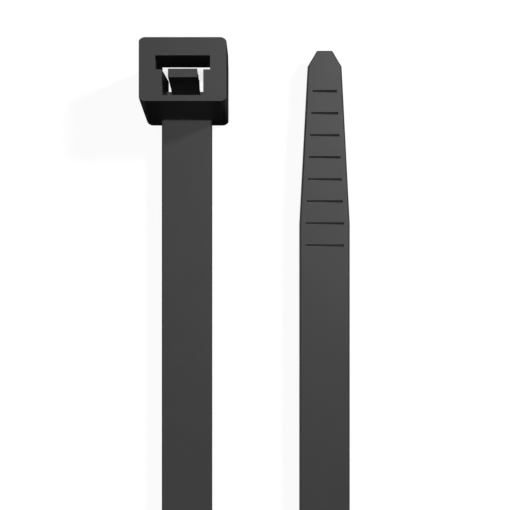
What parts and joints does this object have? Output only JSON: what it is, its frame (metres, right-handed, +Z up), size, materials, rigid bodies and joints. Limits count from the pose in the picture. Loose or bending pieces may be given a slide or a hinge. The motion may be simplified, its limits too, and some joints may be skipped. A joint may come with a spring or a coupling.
{
  "type": "cable tie",
  "caption": "Self-locking nylon cable tie, bent into a U: square head with a pawl in its window, toothed strap on a twist and bend, and a tapered tail with grip lines.",
  "frame": {"origin": "middle of the space that the bent tie takes up, on the surface that it lies on", "axes": "+X along both legs towards the head and the tip, +Y towards the head's leg, +Z up, out of the strap's smooth side"},
  "size_m": [0.0974, 0.0196, 0.005],
  "materials": {
    "nylon": "satin moulded nylon, near black"
  },
  "bodies": {
    "root": {"cable_tie": "nylon"}
  },
  "joints": []
}
